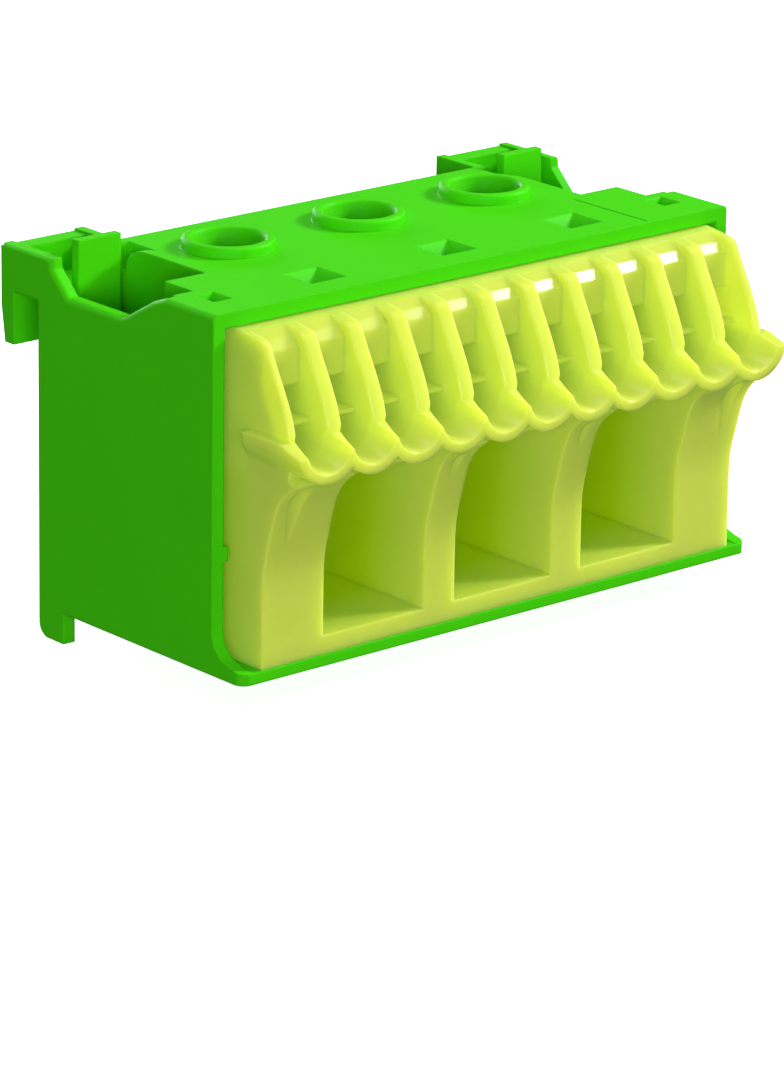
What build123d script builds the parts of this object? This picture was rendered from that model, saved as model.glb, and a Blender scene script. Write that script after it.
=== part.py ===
from build123d import *
import os
from math import sqrt

# Protective-earth terminal block for a rear carrier rail.
# Millimetres, +Z up. The wire side faces -Y and the rail is behind, at +Y.
# The origin is the middle of the back face, which lies against the carrier.

os.makedirs("parts", exist_ok=True)

# ---------------------------------------------------------------- housing
width = 59.8                # X, over both side walls
height = 32.0               # Z, underside of the floor to the top plate
depth = 24.2                # Y, front rim to back face
side_wall = 1.25
top_plate = 1.4
floor_plate = 1.0
back_wall = 1.1
partition = 1.0             # walls around the latch wells and cage guides

lip_reach = 4.1             # floor lip in front of the rim
lip_sweep = 3.2             # height of the curve from the lip to the rim
lip_round = 1.0             # front corners of the lip, seen from above
seam_x = 20.1               # seam line in the top plate
seam_width = 0.2
notch_drop = 3.0            # low stretch of the side wall beside the latch well
notch_setback = 11.5        # front of the low stretch, in front of the back face
notch_length = 7.4
notch_slope_front = 5.7
wall_edge = 0.5             # soft outer edge along the top of a side wall

rail_gap = 3.5              # room for the carrier plate
hook_lip = 1.8
hook_width = 9.1
hook_height = 8.9           # top of the hook to the tip of its lip
gap_top_drop = 4.05         # top of the housing to the top of the rail gap
hook_floor = 1.0
hook_lip_drop = 0.2         # the lip is lower than its cheeks
hook_arm = 1.8              # hook cheek in front of the back face
hook_toe_rise = 3.4         # slope at the tip of the hook
hook_toe = 0.5
foot_drop = 2.85            # feet below the floor
foot_length = 3.5
foot_round = 1.3

# ---------------------------------------------------------------- latches
well_setback = 13.3         # front of the latch well, in front of the back face
well_width = 6.7
step_length = 3.85          # shallow step in front of the well
step_width = 2.2
step_depth = 3.2
well_round = 3.3            # rounded rear corner of the well's inner wall
well_drop = 2.3
latch_thick = 0.9
latch_wall_gap = 0.2        # tongue to the back wall
latch_width = 4.7
latch_inset = 1.5           # side wall to the tongue
latch_rise = 1.3            # tongue above the top plate
latch_pivot_height = 4.6
latch_root_radius = 0.8
latch_clearance = 0.06
latch_cradle_rise = 0.3     # cradle above the pivot
cradle_depth = 1.2
nose_drop = 7.4             # latch nose below the top plate
nose_chamfer = 0.8
nose_size = 2.4
nose_reach = 1.1            # nose into the rail gap
window_clearance = 0.35

# ---------------------------------------------------------------- big ways
way_count = 3
way_pitch = 15.0
way_setback = 7.9           # screw axis in front of the back face
opening_width = 11.5
sill_height = 2.7
pocket_top = 15.9
pocket_gap = 0.7            # rear end of the wire pockets to the clamp cages
collar_height = 1.0
collar_outer = 4.2
collar_round = 0.4
collar_inner = 3.3
screw_bore = 2.6            # radius of the screwdriver hole in the top plate
test_mouth = 3.9            # square mouth of a test hole
test_bore = 1.5
test_depth_from_rim = 4.55
end_test_mouth = 2.6
end_test_narrower = 0.6     # end test mouth, less wide than it is long
end_test_bore = 0.8
end_test_taper = 25
end_test_from_side = 3.7

bar_bottom = 17.0           # underside of the busbar
bar_thick = 1.6
bar_front = 1.5
bar_overhang = 0.2          # busbar plate behind the contact frames
bar_end_gap = 1.6           # insert side face to the end of the busbar
tongue_clearance = 0.2      # busbar tongue inside the cage window
tongue_overhang = 0.2       # tongue behind the cage
tongue_root = 1.0           # tongue inside the plate

cage_width = 9.4
cage_depth = 8.0
cage_window_width = 7.0
cage_round = 0.8
ridge_pitch = 2.0
ridge_size = 0.3
cage_floor_thick = 1.6
cage_nut_thick = 2.2
cage_nut_gap = 0.3          # nut above the busbar with the clamp open
wire_room = 8.0             # under the busbar with the clamp open
cage_side_clearance = 0.3
guide_overhang = 0.3        # guides in front of the cage
clamp_travel = 6.0

screw_radius = 2.5
thread_clearance = 0.05
head_overhang = 0.5
head_height = 2.4
head_chamfer = 0.3
tip_chamfer = 0.5
head_clearance = 0.3        # nut at the top of its travel to the screw head
slot_width = 1.2
slot_depth = 1.3
slot_cross = 4.0

# ---------------------------------------------------------------- small ways
small_count = 11
small_pitch = 5.0
channel_width = 3.6
plate_face = -3.2           # face of the crest wall inside a channel
slot_top = 25.7             # top of the screwdriver slot
crest_bevel = 0.8           # bevel over the crest wall between the ribs
trough_center = 21.75       # centre height of the rounded channel floor
channel_back = 0.3          # rear end of a channel, behind the rim
shelf_front = -4.7          # shelf between the wire and the screwdriver
shelf_bottom = 22.6
shelf_thick = 0.3

scoop_front = -9.7          # front of the wire scoops
scoop_center = 22.1
scoop_inner = 2.6
scoop_wall = 0.9
scoop_brow = 21.3           # top of the peaks between scoops
scoop_root = -2.0

# ---------------------------------------------------------------- insert
insert_side_gap = 0.15
insert_top_gap = 0.1
insert_front = -3.9         # front of the pillars at the sill
pillar_bend = 8.5           # height where the pillars start to lean forward
insert_back = 5.8           # rear end of the upper half
rib_shoulder = 5.9          # where the front of a rib starts to lean back, below the top
rib_lean = 4.1
end_plate = 1.7             # end walls beside the outer channels
end_lap = 1.0               # outermost stretch that only the end walls fill
end_draft = 1.1             # taken off the outer face of an end wall at the scoops
end_draft_start = 1.0       # in front of the rim
groove_radius = 1.3         # lead-in grooves of the pillars, under the scoops
groove_tip = 0.05
groove_foot = 8.0           # height where a groove runs out
groove_tilt = 13.5
groove_inset = 3.1          # side face of the insert to the groove in an end pillar
snap_height = 10.0
snap_size = 1.3
snap_reach = 0.5
snap_depth = 0.7
snap_clearance = 0.1

# ---------------------------------------------------------------- spring contacts
frame_front = 0.6
frame_length = 8.0
frame_wall = 0.4
frame_floor = 0.9
frame_end = 0.7
frame_height = 7.6
chamber_clearance = 0.1
pivot_radius = 0.5
pivot_clearance = 0.05
spring_thick = 0.35
spring_width = 2.4
spring_pivot_back = 1.1     # pivot bar behind the front of the frame
spring_pivot_drop = 1.0     # pivot bar below the top of the frame
spring_tip_back = 3.6       # tip behind the pivot bar
spring_tip_gap = 0.25       # tip above the frame floor

# ---------------------------------------------------------------- derived places
rim_y = -depth
inside = width / 2 - side_wall
latch_face = depth - back_wall - latch_wall_gap - latch_thick
notch_front = depth - notch_setback
notch_back = notch_front + notch_length
well_front = depth - well_setback
step_front = well_front - step_length
hook_step = depth - hook_arm
way_axis = depth - way_setback
cage_front = way_axis - cage_depth / 2
cage_rear = way_axis + cage_depth / 2
pocket_depth = cage_front - pocket_gap
frame_back = frame_front + frame_length
bar_back = frame_back + bar_overhang
tongue_width = cage_window_width - 2 * tongue_clearance
tongue_end = cage_rear + tongue_overhang
head_radius = screw_radius + head_overhang
nose_height = height - nose_drop
base_z = -height / 2
half = width / 2
insert_half = half - side_wall - insert_side_gap
insert_top = height - top_plate - insert_top_gap
bar_top = bar_bottom + bar_thick
well_inner = half - side_wall - well_width      # |x| of the well's inner wall
latch_outer = half - side_wall - latch_inset
latch_x = latch_outer - latch_width / 2
latch_pivot_y = latch_face + latch_thick / 2
hook_top_y = depth + rail_gap + hook_lip
cage_floor_top = bar_bottom - wire_room
nut_bottom = bar_top + cage_nut_gap
nut_top = nut_bottom + cage_nut_thick
head_bottom = nut_top + clamp_travel + head_clearance
frame_top = bar_top + frame_height
pivot_y = frame_front + spring_pivot_back
pivot_z = frame_top - spring_pivot_drop
way_x = [way_pitch * (i - (way_count - 1) / 2) for i in range(way_count)]
small_x = [small_pitch * (i - (small_count - 1) / 2) for i in range(small_count)]


def y_at(behind_rim):
    """Y of a point that lies behind_rim mm behind the front rim."""
    return rim_y + behind_rim


def z_at(above_floor):
    """Z of a point that lies above_floor mm above the underside of the floor."""
    return base_z + above_floor


def yz(points):
    """Side-view points, given from the rim and the floor, in part coordinates."""
    return [(y_at(y), z_at(z)) for y, z in points]


def slab(x0, x1, y0, y1, z0, z1, mode=Mode.ADD):
    """A box between two corners, y from the rim and z from the floor."""
    with Locations(((x0 + x1) / 2, y_at((y0 + y1) / 2), z_at((z0 + z1) / 2))):
        Box(abs(x1 - x0), abs(y1 - y0), abs(z1 - z0), mode=mode)


# ---------------------------------------------------------------- housing
def side_face():
    """Outline of a side wall with its foot, rail gap and hook arm."""
    gap_top = height - gap_top_drop
    hook_tip = height - hook_height
    low = height - notch_drop
    back = hook_top_y
    with BuildSketch(Plane.YZ) as sketch:
        with BuildLine():
            Polyline(*yz([
                (-lip_reach, floor_plate), (-lip_reach, 0), (depth - foot_length, 0),
                (depth - foot_length, -foot_drop), (depth, -foot_drop), (depth, gap_top),
                (depth + rail_gap, gap_top), (depth + rail_gap, hook_tip),
                (back - hook_toe, hook_tip), (back, hook_tip + hook_toe_rise), (back, height),
                (hook_step, height), (hook_step - 0.1, height - 0.9),
                (notch_back, low), (notch_front, low),
                (notch_front - 0.9, low + 0.4), (notch_front - 4.2, height - 0.7),
                (notch_front - notch_slope_front - 0.4, height), (0, height),
                (0, floor_plate + lip_sweep),
            ]))
            Spline(
                *yz([(0, floor_plate + lip_sweep), (-0.6, floor_plate + 1.3),
                     (-lip_reach, floor_plate)]),
                tangents=[(0, -1), (-1, -0.15)],
            )
        make_face()
        foot = sketch.vertices().group_by(Axis.Y)[0].sort_by(Axis.X)[-1]
        fillet(foot, foot_round)
    return sketch.sketch


def build_side_wall():
    """The right side wall, with a soft outer edge along its top."""
    with BuildPart() as wall:
        with Locations((inside, 0, 0)):
            add(extrude(side_face(), amount=side_wall, mode=Mode.PRIVATE))
        low = z_at(height - notch_drop) - 0.1
        outer = wall.faces().sort_by(Axis.X)[-1]
        top_edges = outer.edges().filter_by_position(Axis.Z, low, z_at(height) + 0.1)
        fillet(top_edges, wall_edge)
    return wall.part


def hook_face(top):
    """Outline of a hook behind the body, down to the tip of its lip."""
    gap_top = height - gap_top_drop
    hook_tip = height - hook_height
    with BuildSketch(Plane.YZ) as sketch:
        with BuildLine():
            Polyline(*yz([
                (depth - back_wall, gap_top), (depth + rail_gap, gap_top),
                (depth + rail_gap, hook_tip), (hook_top_y - hook_toe, hook_tip),
                (hook_top_y, hook_tip + hook_toe_rise), (hook_top_y, top),
                (depth - back_wall, top),
            ]), close=True)
        make_face()
    return sketch.sketch


def well_corner_face():
    """Side view of the material taken off the rear corner of a well's inner wall."""
    with BuildSketch(Plane.YZ) as sketch:
        with BuildLine():
            Spline(*yz([(latch_face - well_round, height), (latch_face, height - well_drop)]),
                   tangents=[(1, 0), (0, -1)])
            Polyline(*yz([
                (latch_face, height - well_drop), (depth - back_wall, height - well_drop),
                (depth - back_wall, height + 1), (latch_face - well_round, height + 1),
                (latch_face - well_round, height),
            ]))
        make_face()
    return sketch.sketch


def build_housing():
    gap_top = height - gap_top_drop
    right_wall = build_side_wall()
    left_wall = mirror(right_wall, about=Plane.YZ, mode=Mode.PRIVATE)
    with BuildPart() as housing:
        # floor with its front lip, side walls, top plate and back wall
        slab(-half, half, -lip_reach, depth, 0, floor_plate)
        add(right_wall)
        add(left_wall)
        slab(-inside, inside, 0, depth, height - top_plate, height)
        slab(-inside, inside, depth - back_wall, depth, 0, height)
        for side in (-1, 1):
            # the three walls that close off the latch well
            slab(side * well_inner, side * (well_inner - partition), well_front - partition,
                 depth, 0, height)
            slab(side * inside, side * (well_inner - partition), well_front - partition,
                 well_front, 0, height)
            slab(side * inside, side * (inside - step_width - partition),
                 step_front - partition, well_front, height - step_depth - partition, height)
            # hook: lip, cheeks and floor
            with Locations((side * (half - hook_width / 2), 0, 0)):
                add(extrude(hook_face(height - hook_lip_drop), amount=hook_width / 2, both=True,
                            mode=Mode.PRIVATE))
            with Locations((side * (half - hook_width + partition / 2), 0, 0)):
                add(extrude(hook_face(height), amount=partition / 2, both=True, mode=Mode.PRIVATE))
            # cradle of the latch root
            slab(side * inside, side * well_inner, latch_face - cradle_depth,
                 depth - back_wall, 0, latch_pivot_height + latch_cradle_rise)
        # guides beside the clamp cages
        guide = cage_width / 2 + cage_side_clearance
        for x in way_x:
            for side in (-1, 1):
                slab(x + side * guide, x + side * (guide + partition),
                     cage_front - guide_overhang, depth - back_wall, 0, nut_top)
            # screwdriver collar
            with Locations((x, y_at(way_axis), z_at(height - top_plate / 2))):
                Cylinder(collar_outer, collar_height + top_plate / 2,
                         align=(Align.CENTER, Align.CENTER, Align.MIN))

        for side in (-1, 1):
            # latch well, the shallow step in front of it and the hook's box behind it
            slab(side * inside, side * well_inner, well_front, depth - back_wall,
                 latch_pivot_height + latch_cradle_rise, height + 1, mode=Mode.SUBTRACT)
            slab(side * inside, side * (inside - step_width), step_front,
                 well_front + 0.5, height - step_depth, height + 1, mode=Mode.SUBTRACT)
            slab(side * inside, side * (half - hook_width + partition),
                 depth - back_wall - 0.5, depth + rail_gap, gap_top + hook_floor, height + 1,
                 mode=Mode.SUBTRACT)
            # rounded rear corner of the well's inner wall
            with Locations((side * (half - hook_width + partition / 2 + 0.1), 0, 0)):
                add(extrude(well_corner_face(), amount=partition / 2 + 0.15, both=True,
                            mode=Mode.PRIVATE), mode=Mode.SUBTRACT)
            # groove that carries the latch root
            with Locations((side * latch_x, y_at(latch_pivot_y), z_at(latch_pivot_height))):
                Cylinder(latch_root_radius + latch_clearance, latch_width + 0.6,
                         rotation=(0, 90, 0), mode=Mode.SUBTRACT)
            # window for the latch nose
            slab(side * (latch_x - nose_size / 2 - window_clearance),
                 side * (latch_x + nose_size / 2 + window_clearance),
                 depth - back_wall - 0.1, depth + 0.1,
                 nose_height - nose_size / 2 - window_clearance,
                 nose_height + nose_size / 2 + window_clearance + 0.4, mode=Mode.SUBTRACT)
            # snap nub that holds the insert
            with Locations((side * inside, y_at(snap_depth / 2),
                            z_at(snap_height + snap_size / 2))):
                Box(2 * snap_reach, snap_depth, snap_size)
            # small test hole beside the side wall
            with BuildSketch(Plane.XY.offset(z_at(height))):
                with Locations((side * (half - end_test_from_side), y_at(test_depth_from_rim))):
                    Rectangle(end_test_mouth - end_test_narrower, end_test_mouth)
            extrude(amount=-top_plate, taper=end_test_taper, mode=Mode.SUBTRACT)

        for x in way_x:
            # screwdriver funnel and test hole
            with BuildSketch(Plane.XY.offset(z_at(height + collar_height))) as mouth:
                with Locations((x, y_at(way_axis))):
                    Circle(collar_inner)
            with BuildSketch(Plane.XY.offset(z_at(height - top_plate))) as throat:
                with Locations((x, y_at(way_axis))):
                    Circle(screw_bore)
            loft(mode=Mode.SUBTRACT)
            with BuildSketch(Plane.XY.offset(z_at(height))) as square_mouth:
                with Locations((x, y_at(test_depth_from_rim))):
                    Rectangle(test_mouth, test_mouth)
            with BuildSketch(Plane.XY.offset(z_at(height - top_plate))) as square_bore:
                with Locations((x, y_at(test_depth_from_rim))):
                    Rectangle(test_bore, test_bore)
            loft(mode=Mode.SUBTRACT)
            # soft edges of the collar
            rims = housing.edges().filter_by(GeomType.CIRCLE).filter_by_position(
                Axis.Z, z_at(height + collar_height) - 0.01, z_at(height + collar_height) + 0.01)
            around = [rim for rim in rims if abs(rim.arc_center.X - x) < 0.1]
            fillet(around, collar_round)
        # seam line in the top plate, and the rounded corners of the floor lip
        slab(seam_x, seam_x + seam_width, seam_width, well_front - 1, height - seam_width,
             height + 1, mode=Mode.SUBTRACT)
        lip_corners = housing.edges().filter_by(Axis.Z).filter_by_position(
            Axis.Y, y_at(-lip_reach) - 0.01, y_at(-lip_reach) + 0.01)
        fillet(lip_corners, lip_round)
    housing.part.label = "housing"
    return housing.part


# ---------------------------------------------------------------- insert
def insert_rear_points():
    """Side-view points of the insert from the top of its ribs round to the sill."""
    return [
        (-3.8, insert_top - 0.7), (plate_face, insert_top - 0.4), (0, insert_top),
        (insert_back, insert_top), (insert_back, bar_bottom), (pocket_depth, bar_bottom),
        (pocket_depth, floor_plate), (insert_front, floor_plate), (insert_front, pillar_bend),
    ]


def insert_side_face():
    """Outline of the insert between its end plates: pillars, ribs, crest and rear web."""
    rear = insert_rear_points()
    with BuildSketch(Plane.YZ) as sketch:
        with BuildLine():
            Spline(*yz([rear[-1], (-4.8, 13.2), (-5.9, 16.3), (-8.0, 18.3)]),
                   tangents=[(0, 1), (-1, 0.6)])
            Polyline(*yz([(-8.0, 18.3), (-7.2, 18.8), (-7.3, 21.8)]))
            Spline(*yz([(-7.3, 21.8), (-6.5, insert_top - rib_shoulder),
                        (-5.6, insert_top - rib_lean), rear[0]]))
            Polyline(*yz(rear))
        make_face()
    return sketch.sketch


def end_plate_face():
    """Outline of an end plate: as the body, with the scoops' outline in front."""
    rear = insert_rear_points()
    nose = (scoop_front + 0.4, 20.1)
    with BuildSketch(Plane.YZ) as sketch:
        with BuildLine():
            Spline(*yz([rear[-1], (-4.8, 13.2), (-5.9, 16.3), (-7.3, 17.75), (-8.8, 18.9), nose]),
                   tangents=[(0, 1), (0, 1)])
            Spline(*yz([nose, (-8.75, 20.9), (-7.75, 21.2), (-7.1, 22.3),
                        (-6.5, insert_top - rib_shoulder), (-5.6, insert_top - rib_lean), rear[0]]),
                   tangents=[(0, 1), (0.5, 1)])
            Polyline(*yz(rear))
        make_face()
    return sketch.sketch


def channel_face():
    """Side view of the open part of a channel, with the bevel of the crest behind it."""
    top = insert_top
    with BuildSketch(Plane.YZ) as sketch:
        with BuildLine():
            Polyline(*yz([
                (scoop_front - 1, trough_center), (plate_face, trough_center),
                (plate_face, top - crest_bevel - 0.8), (plate_face + 0.8, top - 0.8),
                (plate_face + 2.0, top - 0.2), (plate_face + 2.0, top + 1),
                (scoop_front - 1, top + 1),
            ]), close=True)
        make_face()
    return sketch.sketch


def scoop_wedge():
    """Side view of the wire scoops: what their round walls are cut to."""
    with BuildSketch(Plane.YZ) as sketch:
        with BuildLine():
            Polyline(*yz([
                (scoop_front, scoop_center - scoop_inner - scoop_wall - 0.5),
                (scoop_root, scoop_center - scoop_inner - scoop_wall - 0.5),
                (scoop_root, scoop_center), (-7.4, scoop_center), (scoop_front, scoop_brow),
            ]), close=True)
        make_face()
    return sketch.sketch


def build_scoops():
    """The row of round scoop walls, before the troughs are cut."""
    with BuildPart() as scoops:
        with BuildSketch(Plane.XZ.offset(-y_at(scoop_front))):
            for x in small_x:
                with Locations((x, z_at(scoop_center))):
                    Circle(scoop_inner + scoop_wall)
        extrude(amount=-(scoop_root - scoop_front))
        extrude(scoop_wedge(), amount=half, both=True, mode=Mode.INTERSECT)
    return scoops.part


def build_end_plate():
    """The right end wall of the insert, with a draft on its outer face in front of the rim."""
    with BuildPart() as plate:
        with Locations((insert_half - end_plate, 0, 0)):
            add(extrude(end_plate_face(), amount=end_plate, mode=Mode.PRIVATE))
        with BuildSketch(Plane.XY.offset(base_z)):
            with BuildLine():
                Polyline(
                    (insert_half, y_at(-end_draft_start)),
                    (insert_half - end_draft, y_at(scoop_front)),
                    (insert_half + 1, y_at(scoop_front)),
                    (insert_half + 1, y_at(-end_draft_start)),
                    close=True,
                )
            make_face()
        extrude(amount=height, mode=Mode.SUBTRACT)
    return plate.part


def build_insert():
    scoops = build_scoops()
    right_end = build_end_plate()
    left_end = mirror(right_end, about=Plane.YZ, mode=Mode.PRIVATE)
    end_groove = insert_half - groove_inset
    between = [(a + b) / 2 for a, b in zip(way_x, way_x[1:])]
    with BuildPart() as insert:
        # body, with end plates that carry the outline of the scoops
        extrude(insert_side_face(), amount=insert_half - end_lap, both=True)
        add(right_end)
        add(left_end)
        # lead-in grooves in the pillars, deepest under the scoops
        for x, radius in [(-end_groove, groove_radius), (end_groove, groove_radius),
                          *((x, groove_radius / 2) for x in between)]:
            with Locations(Location((x, y_at(insert_front), z_at(groove_foot)),
                                    (groove_tilt, 0, 0))):
                Cone(groove_tip, radius, scoop_center - groove_foot,
                     align=(Align.CENTER, Align.CENTER, Align.MIN), mode=Mode.SUBTRACT)
        # mouths of the big openings, up to the scoops
        for x in way_x:
            slab(x - opening_width / 2, x + opening_width / 2, scoop_front - 1, scoop_root,
                 sill_height, scoop_center, mode=Mode.SUBTRACT)
        add(scoops)
        for x in way_x:
            slab(x - opening_width / 2, x + opening_width / 2, scoop_root - 0.5,
                 pocket_depth + 0.5, sill_height, pocket_top, mode=Mode.SUBTRACT)
        for x in small_x:
            near, far = x - channel_width / 2, x + channel_width / 2
            # open channel in front of the crest wall, and the slot behind it
            with Locations((x, 0, 0)):
                add(extrude(channel_face(), amount=channel_width / 2, both=True,
                            mode=Mode.PRIVATE), mode=Mode.SUBTRACT)
            slab(near, far, plate_face - 0.1, channel_back + 0.5, trough_center, slot_top,
                 mode=Mode.SUBTRACT)
            with BuildSketch(Plane.XZ.offset(-y_at(channel_back + 0.5))):
                with Locations((x, z_at(trough_center))):
                    Circle(channel_width / 2)
            extrude(amount=channel_back + 0.5 - scoop_front + 2, mode=Mode.SUBTRACT)
            # flare of the scoop
            with BuildSketch(Plane.XZ.offset(-y_at(scoop_front + 3.2))):
                with Locations((x, z_at(trough_center))):
                    Circle(channel_width / 2)
            with BuildSketch(Plane.XZ.offset(-y_at(scoop_front))):
                with Locations((x, z_at(scoop_center))):
                    Circle(scoop_inner)
            loft(mode=Mode.SUBTRACT)
            # chamber of the spring contact
            reach = channel_width / 2 + chamber_clearance
            slab(x - reach, x + reach, channel_back, insert_back + 0.5, bar_top,
                 frame_top + chamber_clearance, mode=Mode.SUBTRACT)
            # shelf between the wire and the screwdriver
            slab(near - 0.1, far + 0.1, shelf_front, channel_back, shelf_bottom,
                 shelf_bottom + shelf_thick)
        # rear corners, clear of the latch wells
        for side in (-1, 1):
            slab(side * (insert_half + 1), side * (well_inner - partition - insert_side_gap),
                 well_front - partition - insert_side_gap, pocket_depth + 1, 0, height,
                 mode=Mode.SUBTRACT)
        # slot for the busbar
        slab(-(insert_half - bar_end_gap), insert_half - bar_end_gap, bar_front,
             pocket_depth + 0.5, bar_bottom, bar_top, mode=Mode.SUBTRACT)
        # test probe bores under the housing's test holes
        probe_top = (insert_top + 1, frame_top)
        for x in way_x:
            slab(x - test_bore / 2, x + test_bore / 2, test_depth_from_rim - test_bore / 2,
                 test_depth_from_rim + test_bore / 2, *probe_top, mode=Mode.SUBTRACT)
        for x in (half - end_test_from_side, end_test_from_side - half):
            slab(x - end_test_bore / 2, x + end_test_bore / 2,
                 test_depth_from_rim - end_test_bore / 2, test_depth_from_rim + end_test_bore / 2,
                 *probe_top, mode=Mode.SUBTRACT)
        # recesses for the housing's snap nubs
        for side in (-1, 1):
            slab(side * (insert_half + 1), side * (half - side_wall - snap_reach - snap_clearance),
                 -snap_clearance, snap_depth + snap_clearance, snap_height - snap_clearance,
                 snap_height + snap_size + snap_clearance, mode=Mode.SUBTRACT)
    insert.part.label = "terminal_insert"
    return insert.part


# ---------------------------------------------------------------- current path
def build_busbar():
    with BuildPart() as busbar:
        reach = insert_half - bar_end_gap
        slab(-reach, reach, bar_front, bar_back, bar_bottom, bar_top)
        for x in way_x:
            slab(x - tongue_width / 2, x + tongue_width / 2, bar_back - tongue_root, tongue_end,
                 bar_bottom, bar_top)
    busbar.part.label = "busbar"
    return busbar.part


def build_cage(index, x):
    with BuildPart() as cage:
        slab(x - cage_width / 2, x + cage_width / 2, cage_front, cage_rear,
             cage_floor_top - cage_floor_thick, nut_top)
        fillet(cage.edges().filter_by(Axis.Y), cage_round)
        slab(x - cage_window_width / 2, x + cage_window_width / 2, cage_front - 1,
             cage_rear + 1, cage_floor_top, nut_bottom, mode=Mode.SUBTRACT)
        with Locations((x, y_at(way_axis), z_at((nut_bottom + nut_top) / 2))):
            Cylinder(screw_radius + thread_clearance, cage_nut_thick + 1, mode=Mode.SUBTRACT)
        # ridges that grip the wire
        for step in (-ridge_pitch, 0, ridge_pitch):
            slab(x - cage_window_width / 2, x + cage_window_width / 2,
                 way_axis + step - ridge_size, way_axis + step + ridge_size,
                 cage_floor_top, cage_floor_top + ridge_size)
    cage.part.label = f"clamp_cage_{index}"
    return cage.part


def build_screw(index, x):
    with BuildPart() as screw:
        with Locations((x, y_at(way_axis), z_at(bar_top))):
            Cylinder(screw_radius, head_bottom - bar_top,
                     align=(Align.CENTER, Align.CENTER, Align.MIN))
        chamfer(screw.edges().group_by(Axis.Z)[0], tip_chamfer)
        with Locations((x, y_at(way_axis), z_at(head_bottom))):
            Cylinder(head_radius, head_height, align=(Align.CENTER, Align.CENTER, Align.MIN))
        chamfer(screw.edges().group_by(Axis.Z)[-1], head_chamfer)
        with Locations((x, y_at(way_axis), z_at(head_bottom + head_height - slot_depth / 2))):
            Box(2 * head_radius + 1, slot_width, slot_depth, mode=Mode.SUBTRACT)
            Box(slot_width, slot_cross, slot_depth, mode=Mode.SUBTRACT)
    screw.part.label = f"clamp_screw_{index}"
    return screw.part


# ---------------------------------------------------------------- spring contacts
def build_contact_frame(index, x):
    with BuildPart() as frame:
        near, far = x - channel_width / 2, x + channel_width / 2
        slab(near, far, frame_front, frame_back, bar_top, frame_top)
        slab(near + frame_wall, far - frame_wall, frame_front - 1, frame_back - frame_end,
             bar_top + frame_floor, frame_top + 1, mode=Mode.SUBTRACT)
        with Locations((x, y_at(pivot_y), z_at(pivot_z))):
            Cylinder(pivot_radius, channel_width - 0.2, rotation=(0, 90, 0))
    frame.part.label = f"contact_frame_{index:02d}"
    return frame.part


def build_spring(index, x):
    """Spring leg: a ring on the pivot bar and a blade down to the wire."""
    ring_outer = pivot_radius + pivot_clearance + spring_thick
    tip_y = pivot_y + spring_tip_back
    tip_z = bar_top + frame_floor + spring_tip_gap
    drop = pivot_z - tip_z
    length = sqrt(spring_tip_back ** 2 + drop ** 2)
    # unit vector along the blade, and one square to it
    along = (spring_tip_back / length, -drop / length)
    across = (drop / length, spring_tip_back / length)
    middle = spring_thick / 2
    mid_radius = ring_outer - middle
    start = (pivot_y + across[0] * mid_radius, pivot_z + across[1] * mid_radius)
    with BuildPart() as spring:
        with BuildSketch(Plane.YZ.offset(x)):
            with Locations(yz([(pivot_y, pivot_z)])[0]):
                Circle(ring_outer)
            with BuildLine():
                Polyline(*yz([
                    (start[0] - across[0] * middle, start[1] - across[1] * middle),
                    (start[0] + across[0] * middle, start[1] + across[1] * middle),
                    (tip_y + across[0] * middle, tip_z + across[1] * middle + middle),
                    (tip_y - across[0] * middle, tip_z - across[1] * middle + middle),
                ]), close=True)
            make_face()
            with Locations(yz([(pivot_y, pivot_z)])[0]):
                Circle(pivot_radius + pivot_clearance, mode=Mode.SUBTRACT)
        extrude(amount=spring_width / 2, both=True)
    spring.part.label = f"clamp_spring_{index:02d}"
    return spring.part


# ---------------------------------------------------------------- latches
def build_latch(name, side):
    with BuildPart() as latch:
        x = side * latch_x
        top = height + latch_rise
        slab(x - latch_width / 2, x + latch_width / 2, latch_face, latch_face + latch_thick,
             latch_pivot_height, top)
        with Locations((x, y_at(latch_pivot_y), z_at(latch_pivot_height))):
            Cylinder(latch_root_radius, latch_width, rotation=(0, 90, 0))
        # nose through the window of the back wall
        with BuildSketch(Plane.YZ.offset(x)):
            with BuildLine():
                Polyline(*yz([
                    (latch_face + latch_thick - 0.1, nose_height - nose_size / 2),
                    (depth + nose_reach, nose_height + nose_size / 2 - nose_chamfer),
                    (depth + nose_reach, nose_height + nose_size / 2),
                    (latch_face + latch_thick - 0.1, nose_height + nose_size / 2),
                ]), close=True)
            make_face()
        extrude(amount=nose_size / 2, both=True)
    latch.part.label = name
    return latch.part


# ---------------------------------------------------------------- write the parts
pieces = [build_housing(), build_insert(), build_busbar()]
for number, place in enumerate(way_x, 1):
    pieces.append(build_cage(number, place))
    pieces.append(build_screw(number, place))
for number, place in enumerate(small_x, 1):
    pieces.append(build_contact_frame(number, place))
    pieces.append(build_spring(number, place))
pieces.append(build_latch("latch_left", -1))
pieces.append(build_latch("latch_right", 1))
for piece in pieces:
    export_step(piece, f"parts/{piece.label}.step")
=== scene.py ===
"""Finishes, stage and camera for a protective-earth rail terminal block.

Laid out as an add-on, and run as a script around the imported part.
"""
import bmesh
import bpy
import math
from mathutils import Matrix, Vector


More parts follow.
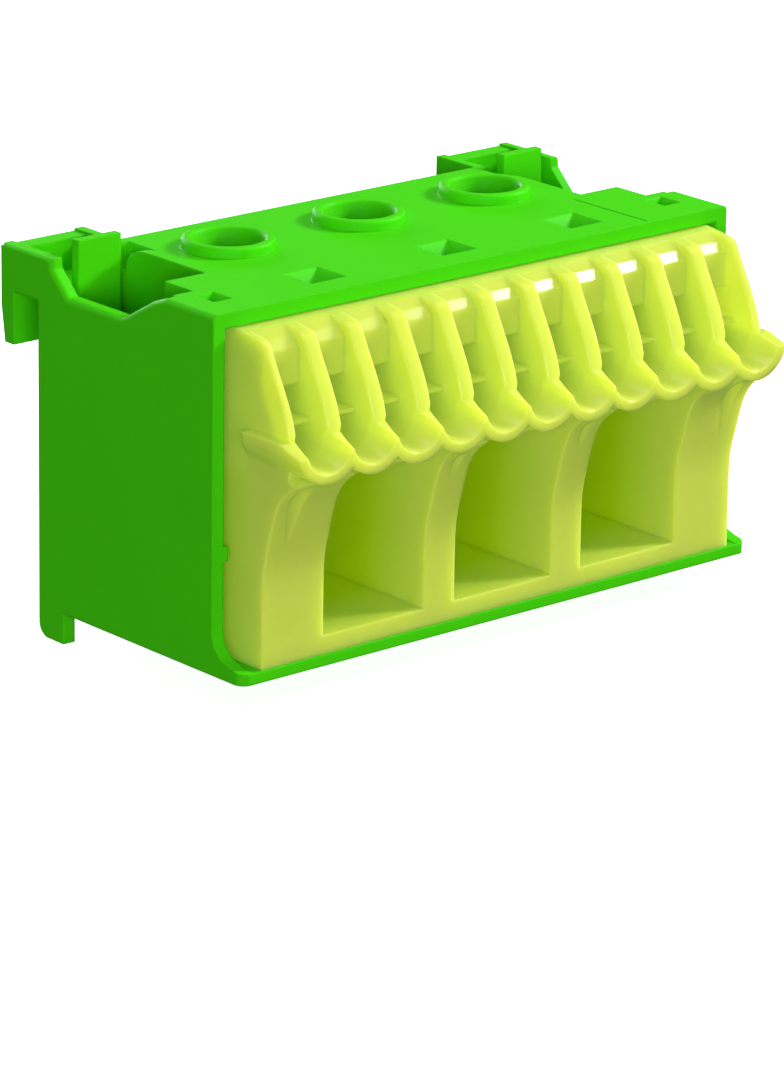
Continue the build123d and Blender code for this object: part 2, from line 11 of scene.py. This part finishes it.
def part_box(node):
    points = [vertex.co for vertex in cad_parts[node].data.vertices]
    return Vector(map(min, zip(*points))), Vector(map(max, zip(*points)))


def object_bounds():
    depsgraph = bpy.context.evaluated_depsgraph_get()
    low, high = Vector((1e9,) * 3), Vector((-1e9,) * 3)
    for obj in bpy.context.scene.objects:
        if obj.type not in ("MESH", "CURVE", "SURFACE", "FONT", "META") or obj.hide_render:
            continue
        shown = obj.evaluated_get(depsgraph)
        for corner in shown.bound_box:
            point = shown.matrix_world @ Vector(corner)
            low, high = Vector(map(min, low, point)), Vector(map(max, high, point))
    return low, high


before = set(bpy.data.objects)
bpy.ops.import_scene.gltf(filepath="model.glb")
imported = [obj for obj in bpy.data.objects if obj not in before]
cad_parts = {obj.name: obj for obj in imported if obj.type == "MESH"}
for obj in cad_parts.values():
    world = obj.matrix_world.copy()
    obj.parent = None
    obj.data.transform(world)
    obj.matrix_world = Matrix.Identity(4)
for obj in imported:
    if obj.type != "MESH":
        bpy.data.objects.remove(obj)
CAD_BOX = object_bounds()

bl_info = {
    "name": "Rail terminal block looks",
    "version": (1, 0, 0),
    "blender": (4, 5, 0),
    "location": "3D View > Sidebar > Terminal",
    "description": "Finishes the moulded plastics, metals and stage of a rail terminal block",
    "category": "Object",
}

MM = 0.001
PANEL_TAB = "Terminal"

# shading: faces that meet at more than this stay sharp before the soft edges are laid on
SHARP_ANGLE = math.radians(28)
EDGE_MASK_GAIN = 3.0
MOTTLE_TO_GRAIN = 0.045         # scale of the slow mottle against the fine grain
WEAR_TO_BRUSH = 0.06            # scale of the wear against the drawing lines
BRUSH_STRETCH = (0.04, 1.0, 1.0)

# roughness ranges, low to high
GREEN_ROUGHNESS = (0.38, 0.48)
YELLOW_ROUGHNESS = (0.11, 0.17)
TIN_ROUGHNESS = (0.28, 0.42)
ZINC_ROUGHNESS = (0.25, 0.40)
SPRING_ROUGHNESS = (0.22, 0.34)

# painted shade on the insert fades out between these heights over its middle
POCKET_SHADE_NONE_ABOVE = 3.5 * MM
POCKET_SHADE_FULL_BELOW = 1.0 * MM

METAL_EDGE_RADIUS = 0.12 * MM
EDGE_LIGHTEN_GAIN = 1.25
DULL_GAIN = 0.8

FLOOR_TOOTH_SCALE = 60.0
FLOOR_SHADE = 0.9
FLOOR_GLOW = 0.85

# lights: direction from the middle of the part, distance, and the two sides, in metres
KEY_LIGHT = ((0.80, -0.34, 0.52), 0.9, (0.16, 0.16))
SPARK_LIGHT = ((0.69, -0.31, 0.72), 0.6, (0.035, 0.05))
FILL_LIGHT = ((-0.58, -0.80, 0.12), 1.2, (1.0, 0.5))
TOP_LIGHT = ((0.0, 0.1, 1.0), 0.8, (0.8, 0.8))
REAR_LIGHT = ((0.12, 0.97, 0.20), 1.2, (1.0, 0.5))


# ---------------------------------------------------------------- settings
class PlasticSettings(bpy.types.PropertyGroup):
    """Colours and textures of the moulded plastics."""

    green: bpy.props.FloatVectorProperty(
        name="Housing green", description="Colour of the housing and its latches",
        subtype="COLOR", size=3, min=0, max=1, default=(0.062, 0.66, 0.004))
    green_mottle: bpy.props.FloatVectorProperty(
        name="Housing green, mottled", description="Darker tone that the slow mottle mixes in at random",
        subtype="COLOR", size=3, min=0, max=1, default=(0.045, 0.52, 0.002))
    yellow: bpy.props.FloatVectorProperty(
        name="Insert yellow", description="Colour of the insert outside its painted pocket shade",
        subtype="COLOR", size=3, min=0, max=1, default=(0.56, 0.62, 0.085))
    # painted shade: the darker, greener colour the insert is given deep in its wire pockets
    yellow_pocket_shade: bpy.props.FloatVectorProperty(
        name="Insert pocket shade colour", description="Painted shade colour deep in the wire pockets",
        subtype="COLOR", size=3, min=0, max=1, default=(0.34, 0.52, 0.003))
    # painted light: an emission over the whole insert that stands in for light passing through it
    painted_glow: bpy.props.FloatVectorProperty(
        name="Insert glow", description="Painted light standing in for light that comes through the insert from all round",
        subtype="COLOR", size=3, min=0, max=1, default=(0.070, 0.125, 0.014))
    # painted light: a stronger emission deep in the pockets that stands in for light through their
    # walls
    painted_glow_pockets: bpy.props.FloatVectorProperty(
        name="Insert glow, deep", description="Painted light standing in for light that comes through the walls of the pockets",
        subtype="COLOR", size=3, min=0, max=1, default=(0.075, 0.120, 0.0005))
    # where the painted pocket shade starts behind the housing's front, and how far it grows
    pocket_shade_front: bpy.props.FloatProperty(
        name="Pocket shade start", description="How far behind the housing's front the painted pocket shade starts",
        subtype="DISTANCE", unit="LENGTH", default=0.5 * MM)
    pocket_shade_length: bpy.props.FloatProperty(
        name="Pocket shade length", description="Distance over which the painted pocket shade grows",
        subtype="DISTANCE", unit="LENGTH", default=9.0 * MM)
    edge_radius: bpy.props.FloatProperty(
        name="Edge radius", description="Radius of the soft edges of the housing",
        subtype="DISTANCE", unit="LENGTH", default=0.25 * MM)
    insert_edge_radius: bpy.props.FloatProperty(
        name="Insert edge radius", description="Radius of the soft edges of the insert",
        subtype="DISTANCE", unit="LENGTH", default=0.40 * MM)
    grain_scale: bpy.props.FloatProperty(
        name="Grain scale", description="Cells of the mould grain per metre",
        default=2600.0)


class MetalSettings(bpy.types.PropertyGroup):
    """Colours of the current path and the clamps."""

    tin: bpy.props.FloatVectorProperty(
        name="Tin", description="Colour of the tinned copper parts",
        subtype="COLOR", size=3, min=0, max=1, default=(0.72, 0.70, 0.66))
    zinc: bpy.props.FloatVectorProperty(
        name="Zinc", description="Colour of the plated steel parts",
        subtype="COLOR", size=3, min=0, max=1, default=(0.62, 0.64, 0.66))
    spring: bpy.props.FloatVectorProperty(
        name="Spring steel", description="Colour of the spring legs",
        subtype="COLOR", size=3, min=0, max=1, default=(0.50, 0.49, 0.47))
    brush_scale: bpy.props.FloatProperty(
        name="Brush scale", description="Brush lines per metre", default=9000.0)


class StageSettings(bpy.types.PropertyGroup):
    """Floor, light and camera."""

    floor_size: bpy.props.FloatProperty(
        name="Floor size", description="Side of the floor", subtype="DISTANCE",
        unit="LENGTH", default=8.0)
    floor_colour: bpy.props.FloatVectorProperty(
        name="Floor colour", description="Colour of the pale floor", subtype="COLOR",
        size=3, min=0, max=1, default=(0.93, 0.93, 0.93))
    sky: bpy.props.FloatProperty(
        name="Ambient light", description="Strength of the even light all round", default=0.08)
    key_power: bpy.props.FloatProperty(
        name="Key light", description="Power of the soft key light", subtype="POWER",
        unit="POWER", default=7.0)
    spark_power: bpy.props.FloatProperty(
        name="Spark light", description="Power of the small light that glints on the crest",
        subtype="POWER", unit="POWER", default=0.35)
    fill_power: bpy.props.FloatProperty(
        name="Fill light", description="Power of the large low light on the left",
        subtype="POWER", unit="POWER", default=11.2)
    top_power: bpy.props.FloatProperty(
        name="Top light", description="Power of the overhead light", subtype="POWER",
        unit="POWER", default=3.4)
    rear_power: bpy.props.FloatProperty(
        name="Rear light", description="Power of the large light behind the part",
        subtype="POWER", unit="POWER", default=9.0)
    camera_azimuth: bpy.props.FloatProperty(
        name="Camera azimuth", description="Angle round the part, 0 looks along +Y",
        subtype="ANGLE", unit="ROTATION", default=math.radians(-41.074))
    camera_elevation: bpy.props.FloatProperty(
        name="Camera elevation", description="Angle above the horizon",
        subtype="ANGLE", unit="ROTATION", default=math.radians(18.076))
    camera_roll: bpy.props.FloatProperty(
        name="Camera roll", description="Turn about the line of sight",
        subtype="ANGLE", unit="ROTATION", default=math.radians(0.926))
    camera_distance: bpy.props.FloatProperty(
        name="Camera distance", description="Distance to the middle of the view",
        subtype="DISTANCE", unit="LENGTH", default=506.2 * MM)
    camera_lens: bpy.props.FloatProperty(
        name="Lens", description="Focal length on a 36 mm sensor",
        subtype="DISTANCE_CAMERA", unit="CAMERA", default=190.54)
    camera_right: bpy.props.FloatProperty(
        name="Look right", description="View centre, right of the aim point",
        subtype="DISTANCE", unit="LENGTH", default=2.503 * MM)
    camera_up: bpy.props.FloatProperty(
        name="Look up", description="View centre, above the aim point",
        subtype="DISTANCE", unit="LENGTH", default=-16.184 * MM)
    camera_aim: bpy.props.FloatVectorProperty(
        name="Aim point", description="Point in the part that the view is measured from",
        subtype="TRANSLATION", unit="LENGTH", size=3,
        default=(0.1 * MM, -9.2 * MM, 4.0 * MM))


# ---------------------------------------------------------------- node helpers
def new_group(name, inputs, outputs):
    """An empty shader node group: inputs as (name, default), outputs as (name, socket type)."""
    group = bpy.data.node_groups.new(name, "ShaderNodeTree")
    for label, default in inputs:
        kind = "NodeSocketColor" if isinstance(default, tuple) else "NodeSocketFloat"
        socket = group.interface.new_socket(label, in_out="INPUT", socket_type=kind)
        socket.default_value = default
    for label, kind in outputs:
        group.interface.new_socket(label, in_out="OUTPUT", socket_type=kind)
    return group, group.nodes.new("NodeGroupInput"), group.nodes.new("NodeGroupOutput")


def add_node(tree, kind, **settings):
    """A node with its attributes set, and inputs given by name in a dict called inputs."""
    node = tree.nodes.new(kind)
    for label, value in settings.pop("inputs", {}).items():
        node.inputs[label].default_value = value
    for label, value in settings.items():
        setattr(node, label, value)
    return node


def math_node(tree, operation, first, second, clamp=False):
    """A math node; each of its two sides is a socket or a number."""
    node = add_node(tree, "ShaderNodeMath", operation=operation, use_clamp=clamp)
    for index, side in enumerate((first, second)):
        if isinstance(side, bpy.types.NodeSocket):
            tree.links.new(side, node.inputs[index])
        else:
            node.inputs[index].default_value = side
    return node.outputs[0]


def mix_colour(tree, factor, first, second):
    """A colour mix; each side is a socket or a colour of three numbers."""
    node = add_node(tree, "ShaderNodeMix", data_type="RGBA")
    tree.links.new(factor, node.inputs["Factor"])
    for label, side in (("A", first), ("B", second)):
        socket = next(s for s in node.inputs if s.name == label and s.type == "RGBA")
        if isinstance(side, bpy.types.NodeSocket):
            tree.links.new(side, socket)
        else:
            socket.default_value = (*side, 1)
    return next(s for s in node.outputs if s.type == "RGBA")


# ---------------------------------------------------------------- shared effects
def soft_edges_group():
    """Soft moulded edges: the normal rounded at every edge, and a mask that is 1 on edges."""
    group, start, end = new_group(
        "soft_edges", [("Radius", 0.0002)],
        [("Normal", "NodeSocketVector"), ("Edge", "NodeSocketFloat")])
    bevel = add_node(group, "ShaderNodeBevel", samples=6)
    group.links.new(start.outputs["Radius"], bevel.inputs["Radius"])
    geometry = add_node(group, "ShaderNodeNewGeometry")
    dot = add_node(group, "ShaderNodeVectorMath", operation="DOT_PRODUCT")
    group.links.new(bevel.outputs["Normal"], dot.inputs[0])
    group.links.new(geometry.outputs["Normal"], dot.inputs[1])
    edge = math_node(group, "MULTIPLY", math_node(group, "SUBTRACT", 1.0, dot.outputs["Value"]),
                     EDGE_MASK_GAIN, clamp=True)
    group.links.new(bevel.outputs["Normal"], end.inputs["Normal"])
    group.links.new(edge, end.inputs["Edge"])
    return group


def mould_grain_group():
    """Fine grain of a spark-eroded mould: a height, and a slow mottle of the surface."""
    group, start, end = new_group(
        "mould_grain", [("Scale", 2600.0)],
        [("Height", "NodeSocketFloat"), ("Mottle", "NodeSocketFloat")])
    place = add_node(group, "ShaderNodeTexCoord")
    fine = add_node(group, "ShaderNodeTexNoise", inputs={"Detail": 3.0, "Roughness": 0.55})
    slow = add_node(group, "ShaderNodeTexNoise", inputs={"Detail": 2.0, "Roughness": 0.5})
    group.links.new(start.outputs["Scale"], fine.inputs["Scale"])
    group.links.new(math_node(group, "MULTIPLY", start.outputs["Scale"], MOTTLE_TO_GRAIN),
                    slow.inputs["Scale"])
    for noise in (fine, slow):
        group.links.new(place.outputs["Object"], noise.inputs["Vector"])
    group.links.new(fine.outputs["Fac"], end.inputs["Height"])
    group.links.new(slow.outputs["Fac"], end.inputs["Mottle"])
    return group


def brushed_group():
    """Fine drawing lines along X on stamped metal: a height and a wear mask."""
    group, start, end = new_group(
        "brushed_lines", [("Scale", 9000.0)],
        [("Height", "NodeSocketFloat"), ("Wear", "NodeSocketFloat")])
    place = add_node(group, "ShaderNodeTexCoord")
    stretch = add_node(group, "ShaderNodeVectorMath", operation="MULTIPLY")
    stretch.inputs[1].default_value = BRUSH_STRETCH
    group.links.new(place.outputs["Object"], stretch.inputs[0])
    lines = add_node(group, "ShaderNodeTexNoise", inputs={"Detail": 2.0})
    wear = add_node(group, "ShaderNodeTexNoise", inputs={"Detail": 4.0})
    group.links.new(stretch.outputs["Vector"], lines.inputs["Vector"])
    group.links.new(start.outputs["Scale"], lines.inputs["Scale"])
    group.links.new(place.outputs["Object"], wear.inputs["Vector"])
    group.links.new(math_node(group, "MULTIPLY", start.outputs["Scale"], WEAR_TO_BRUSH),
                    wear.inputs["Scale"])
    group.links.new(lines.outputs["Fac"], end.inputs["Height"])
    group.links.new(wear.outputs["Fac"], end.inputs["Wear"])
    return group


def shared(name, maker):
    """The shader node group of that name, made the first time it is asked for."""
    return bpy.data.node_groups.get(name) or maker()


def place_group(tree, name, maker, **values):
    """A node that holds a shared effect, with its own input values."""
    node = add_node(tree, "ShaderNodeGroup", node_tree=shared(name, maker))
    for label, value in values.items():
        node.inputs[label].default_value = value
    return node


# ---------------------------------------------------------------- materials
def new_material(name):
    """A material with only its Principled shader and output."""
    material = bpy.data.materials.new(name)
    material.use_nodes = True
    tree = material.node_tree
    return material, tree, tree.nodes["Principled BSDF"]


def bumped(tree, shader, height, edges, strength, distance):
    """Feeds the shader's normal with a bump laid over the soft edges."""
    bump = add_node(tree, "ShaderNodeBump", inputs={"Strength": strength, "Distance": distance})
    tree.links.new(height, bump.inputs["Height"])
    tree.links.new(edges.outputs["Normal"], bump.inputs["Normal"])
    tree.links.new(bump.outputs["Normal"], shader.inputs["Normal"])


def roughness_from(tree, shader, mottle, limits):
    """Roughness that drifts with the mottle between the two limits."""
    low, high = limits
    spread = add_node(tree, "ShaderNodeMapRange")
    tree.links.new(mottle, spread.inputs["Value"])
    for label, value in (("From Min", 0.3), ("From Max", 0.7), ("To Min", low), ("To Max", high)):
        spread.inputs[label].default_value = value
    tree.links.new(spread.outputs["Result"], shader.inputs["Roughness"])


def green_plastic(settings):
    """Dense green moulded plastic with a fine grain and soft edges."""
    material, tree, shader = new_material("green_moulded_plastic")
    edges = place_group(tree, "soft_edges", soft_edges_group, Radius=settings.edge_radius)
    grain = place_group(tree, "mould_grain", mould_grain_group, Scale=settings.grain_scale)
    # random tone: the slow mottle mixes in up to a quarter of the darker green
    shift = math_node(tree, "MULTIPLY", grain.outputs["Mottle"], 0.25)
    colour = mix_colour(tree, shift, settings.green, settings.green_mottle)
    tree.links.new(colour, shader.inputs["Base Color"])
    roughness_from(tree, shader, grain.outputs["Mottle"], GREEN_ROUGHNESS)
    bumped(tree, shader, grain.outputs["Height"], edges, 0.10, 0.02 * MM)
    shader.inputs["Specular IOR Level"].default_value = 0.06
    shader.inputs["Subsurface Weight"].default_value = 0.12
    shader.inputs["Subsurface Radius"].default_value = (0.4, 1.0, 0.2)
    shader.inputs["Subsurface Scale"].default_value = 0.5 * MM
    return material


def yellow_plastic(settings):
    """Translucent yellow plastic with painted shade that darkens and greens it towards the inside
    of its pockets, and painted light all over.
    """
    material, tree, shader = new_material("clear_yellow_plastic")
    edges = place_group(tree, "soft_edges", soft_edges_group, Radius=settings.insert_edge_radius)
    grain = place_group(tree, "mould_grain", mould_grain_group, Scale=settings.grain_scale)
    low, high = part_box("terminal_insert")
    place = add_node(tree, "ShaderNodeTexCoord")
    axes = add_node(tree, "ShaderNodeSeparateXYZ")
    tree.links.new(place.outputs["Object"], axes.inputs["Vector"])
    # how deep behind the front of the housing, from 0 to 1
    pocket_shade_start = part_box("housing")[0].y + settings.pocket_shade_front
    depth = add_node(tree, "ShaderNodeMapRange", interpolation_type="SMOOTHSTEP")
    tree.links.new(axes.outputs["Y"], depth.inputs["Value"])
    depth.inputs["From Min"].default_value = pocket_shade_start
    depth.inputs["From Max"].default_value = pocket_shade_start + settings.pocket_shade_length
    # the lower half holds the pockets, the upper half the lit channels
    pocket = add_node(tree, "ShaderNodeMapRange", interpolation_type="SMOOTHSTEP")
    tree.links.new(axes.outputs["Z"], pocket.inputs["Value"])
    middle = (low.z + high.z) / 2
    pocket.inputs["From Min"].default_value = middle + POCKET_SHADE_NONE_ABOVE
    pocket.inputs["From Max"].default_value = middle + POCKET_SHADE_FULL_BELOW
    # painted shade: darker and greener deep behind the housing's front and low in the pockets, with
    # a little random mottle added
    pocket_shade = math_node(tree, "MULTIPLY", depth.outputs["Result"], pocket.outputs["Result"])
    drift = math_node(tree, "SUBTRACT", grain.outputs["Mottle"], 0.5)
    drift = math_node(tree, "MULTIPLY", drift, 0.05)
    pocket_shade = math_node(tree, "ADD", pocket_shade, drift, clamp=True)
    colour = mix_colour(tree, pocket_shade, settings.yellow, settings.yellow_pocket_shade)
    tree.links.new(colour, shader.inputs["Base Color"])
    # painted light: emission that stands in for light through the insert, stronger deep in its
    # pockets; the insert is no lamp
    painted_glow = mix_colour(tree, pocket_shade, settings.painted_glow, settings.painted_glow_pockets)
    tree.links.new(painted_glow, shader.inputs["Emission Color"])
    shader.inputs["Emission Strength"].default_value = 1.0
    roughness_from(tree, shader, grain.outputs["Mottle"], YELLOW_ROUGHNESS)
    bumped(tree, shader, grain.outputs["Height"], edges, 0.06, 0.02 * MM)
    shader.inputs["Specular IOR Level"].default_value = 0.35
    shader.inputs["Subsurface Weight"].default_value = 0.9
    shader.inputs["Subsurface Radius"].default_value = (0.9, 1.0, 0.2)
    shader.inputs["Subsurface Scale"].default_value = 4.0 * MM
    return material


def metal(name, colour, settings, roughness):
    """Stamped metal with drawing lines, a little lighter along its edges."""
    material, tree, shader = new_material(name)
    edges = place_group(tree, "soft_edges", soft_edges_group, Radius=METAL_EDGE_RADIUS)
    lines = place_group(tree, "brushed_lines", brushed_group, Scale=settings.brush_scale)
    # the base colour is made lighter where the soft-edge mask finds an edge
    edge_lighter = tuple(min(1.0, c * EDGE_LIGHTEN_GAIN) for c in colour)
    dull = tuple(c * DULL_GAIN for c in colour)
    base = mix_colour(tree, lines.outputs["Wear"], colour, dull)
    tree.links.new(mix_colour(tree, edges.outputs["Edge"], base, edge_lighter), shader.inputs["Base Color"])
    roughness_from(tree, shader, lines.outputs["Wear"], roughness)
    bumped(tree, shader, lines.outputs["Height"], edges, 0.12, 0.01 * MM)
    shader.inputs["Metallic"].default_value = 1.0
    return material


def finish_nodes(prefix, material):
    """Gives every CAD node whose name starts with prefix that material and smooth shading."""
    found = [o for name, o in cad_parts.items() if name.startswith(prefix)]
    if not found:
        raise RuntimeError(f"no node starts with {prefix!r}")
    for node in found:
        node.data.materials.clear()
        node.data.materials.append(material)
        node.data.shade_smooth()
        node.data.set_sharp_from_angle(angle=SHARP_ANGLE)


# ---------------------------------------------------------------- operators
class TERMINAL_OT_finish_housing(bpy.types.Operator):
    """Finish the housing and its latch tongues in green plastic"""

    bl_idname = "terminal.finish_housing"
    bl_label = "Housing and latches"

    def execute(self, context):
        material = green_plastic(context.scene.terminal_plastic)
        finish_nodes("housing", material)
        finish_nodes("latch_", material)
        return {"FINISHED"}


class TERMINAL_OT_finish_insert(bpy.types.Operator):
    """Finish the terminal insert in translucent yellow plastic"""

    bl_idname = "terminal.finish_insert"
    bl_label = "Insert"

    def execute(self, context):
        finish_nodes("terminal_insert", yellow_plastic(context.scene.terminal_plastic))
        return {"FINISHED"}


class TERMINAL_OT_finish_current_path(bpy.types.Operator):
    """Finish the busbar and the contact frames in tinned copper"""

    bl_idname = "terminal.finish_current_path"
    bl_label = "Busbar and contact frames"

    def execute(self, context):
        settings = context.scene.terminal_metal
        material = metal("tinned_copper", settings.tin, settings, TIN_ROUGHNESS)
        finish_nodes("busbar", material)
        finish_nodes("contact_frame", material)
        return {"FINISHED"}


class TERMINAL_OT_finish_clamps(bpy.types.Operator):
    """Finish the clamp cages and screws in plated steel"""

    bl_idname = "terminal.finish_clamps"
    bl_label = "Clamp cages and screws"

    def execute(self, context):
        settings = context.scene.terminal_metal
        material = metal("plated_steel", settings.zinc, settings, ZINC_ROUGHNESS)
        finish_nodes("clamp_cage", material)
        finish_nodes("clamp_screw", material)
        return {"FINISHED"}


class TERMINAL_OT_finish_springs(bpy.types.Operator):
    """Finish the spring legs in spring steel"""

    bl_idname = "terminal.finish_springs"
    bl_label = "Spring legs"

    def execute(self, context):
        settings = context.scene.terminal_metal
        material = metal("spring_steel", settings.spring, settings, SPRING_ROUGHNESS)
        finish_nodes("clamp_spring", material)
        return {"FINISHED"}


# ---------------------------------------------------------------- stage
def floor_material(colour):
    """Matt paper-white floor with a faint tooth."""
    material, tree, shader = new_material("pale_floor")
    place = add_node(tree, "ShaderNodeTexCoord")
    tooth = add_node(tree, "ShaderNodeTexNoise", inputs={"Scale": FLOOR_TOOTH_SCALE, "Detail": 3.0})
    tree.links.new(place.outputs["Object"], tooth.inputs["Vector"])
    fade = math_node(tree, "MULTIPLY", tooth.outputs["Fac"], 0.03)
    shade = tuple(c * FLOOR_SHADE for c in colour)
    tree.links.new(mix_colour(tree, fade, colour, shade), shader.inputs["Base Color"])
    shader.inputs["Roughness"].default_value = 0.9
    shader.inputs["Specular IOR Level"].default_value = 0.1
    shader.inputs["Emission Color"].default_value = (1, 1, 1, 1)
    shader.inputs["Emission Strength"].default_value = FLOOR_GLOW
    return material


def build_floor(settings):
    """A flat floor under the feet."""
    mesh = bpy.data.meshes.new("floor")
    shape = bmesh.new()
    half = settings.floor_size / 2
    level = CAD_BOX[0].z
    corners = [shape.verts.new((x * half, y * half, level))
               for x, y in ((-1, -1), (1, -1), (1, 1), (-1, 1))]
    shape.faces.new(corners)
    shape.to_mesh(mesh)
    shape.free()
    floor = bpy.data.objects.new("floor", mesh)
    floor.data.materials.append(floor_material(settings.floor_colour))
    floor.visible_glossy = False
    floor.visible_diffuse = False
    bpy.context.scene.collection.objects.link(floor)


def build_light(name, direction, distance, size, power):
    """A rectangular soft light that shines on the middle of the part."""
    middle = (CAD_BOX[0] + CAD_BOX[1]) / 2
    lamp = bpy.data.lights.new(name, "AREA")
    lamp.shape = "RECTANGLE"
    lamp.size, lamp.size_y = size
    lamp.energy = power
    light = bpy.data.objects.new(name, lamp)
    towards = Vector(direction).normalized()
    light.location = middle + towards * distance
    light.rotation_mode = "QUATERNION"
    light.rotation_quaternion = (-towards).to_track_quat("-Z", "Y")
    light.visible_camera = False
    bpy.context.scene.collection.objects.link(light)


def build_world(strength):
    """Even white light all round, that the camera itself sees as plain white."""
    world = bpy.data.worlds.new("studio")
    world.use_nodes = True
    background = world.node_tree.nodes["Background"]
    background.inputs["Color"].default_value = (1, 1, 1, 1)
    path = add_node(world.node_tree, "ShaderNodeLightPath")
    seen = math_node(world.node_tree, "MULTIPLY", path.outputs["Is Camera Ray"], 1.0 - strength)
    world.node_tree.links.new(math_node(world.node_tree, "ADD", seen, strength),
                              background.inputs["Strength"])
    bpy.context.scene.world = world


def build_camera(settings):
    """A long lens at the product-picture angle."""
    azimuth, elevation, roll = (settings.camera_azimuth, settings.camera_elevation,
                                settings.camera_roll)
    back = Vector((math.sin(azimuth) * math.cos(elevation),
                   -math.cos(azimuth) * math.cos(elevation), math.sin(elevation)))
    level = Vector((math.cos(azimuth), math.sin(azimuth), 0))
    upward = back.cross(level)
    right = math.cos(roll) * level + math.sin(roll) * upward
    up = math.cos(roll) * upward - math.sin(roll) * level
    place = (Vector(settings.camera_aim) + level * settings.camera_right
             + upward * settings.camera_up + back * settings.camera_distance)
    camera = bpy.data.objects.new("camera", bpy.data.cameras.new("camera"))
    camera.matrix_world = Matrix((
        (right.x, up.x, back.x, place.x), (right.y, up.y, back.y, place.y),
        (right.z, up.z, back.z, place.z), (0, 0, 0, 1)))
    camera.data.sensor_width = 36
    camera.data.lens = settings.camera_lens
    camera.data.clip_start = 0.01
    camera.data.clip_end = 20
    bpy.context.scene.collection.objects.link(camera)
    bpy.context.scene.camera = camera


class TERMINAL_OT_build_stage(bpy.types.Operator):
    """Build the floor, the soft lights and the camera"""

    bl_idname = "terminal.build_stage"
    bl_label = "Stage"

    def execute(self, context):
        settings = context.scene.terminal_stage
        context.scene.view_settings.view_transform = "Standard"
        build_world(settings.sky)
        build_floor(settings)
        build_light("key", *KEY_LIGHT, settings.key_power)
        build_light("spark", *SPARK_LIGHT, settings.spark_power)
        build_light("fill", *FILL_LIGHT, settings.fill_power)
        build_light("top", *TOP_LIGHT, settings.top_power)
        build_light("rear", *REAR_LIGHT, settings.rear_power)
        build_camera(settings)
        return {"FINISHED"}


# ---------------------------------------------------------------- panel
OPERATORS = (
    TERMINAL_OT_finish_housing,
    TERMINAL_OT_finish_insert,
    TERMINAL_OT_finish_current_path,
    TERMINAL_OT_finish_clamps,
    TERMINAL_OT_finish_springs,
    TERMINAL_OT_build_stage,
)


class TERMINAL_PT_looks(bpy.types.Panel):
    """The terminal block's pieces and stage"""

    bl_idname = "TERMINAL_PT_looks"
    bl_label = "Terminal block"
    bl_space_type = "VIEW_3D"
    bl_region_type = "UI"
    bl_category = PANEL_TAB

    def draw(self, context):
        layout = self.layout
        for operator in OPERATORS:
            layout.operator(operator.bl_idname)
        for settings in (context.scene.terminal_plastic, context.scene.terminal_metal,
                         context.scene.terminal_stage):
            box = layout.box()
            for name in settings.bl_rna.properties.keys():
                if name not in ("rna_type", "name"):
                    box.prop(settings, name)


SETTINGS = (
    ("terminal_plastic", PlasticSettings),
    ("terminal_metal", MetalSettings),
    ("terminal_stage", StageSettings),
)


def register():
    for name, group in SETTINGS:
        bpy.utils.register_class(group)
        setattr(bpy.types.Scene, name, bpy.props.PointerProperty(type=group))
    for operator in OPERATORS:
        bpy.utils.register_class(operator)
    bpy.utils.register_class(TERMINAL_PT_looks)


def unregister():
    bpy.utils.unregister_class(TERMINAL_PT_looks)
    for operator in reversed(OPERATORS):
        bpy.utils.unregister_class(operator)
    for name, group in reversed(SETTINGS):
        delattr(bpy.types.Scene, name)
        bpy.utils.unregister_class(group)


def main():
    register()
    bpy.ops.terminal.finish_housing()
    bpy.ops.terminal.finish_insert()
    bpy.ops.terminal.finish_current_path()
    bpy.ops.terminal.finish_clamps()
    bpy.ops.terminal.finish_springs()
    bpy.ops.terminal.build_stage()


if __name__ == "__main__":
    main()
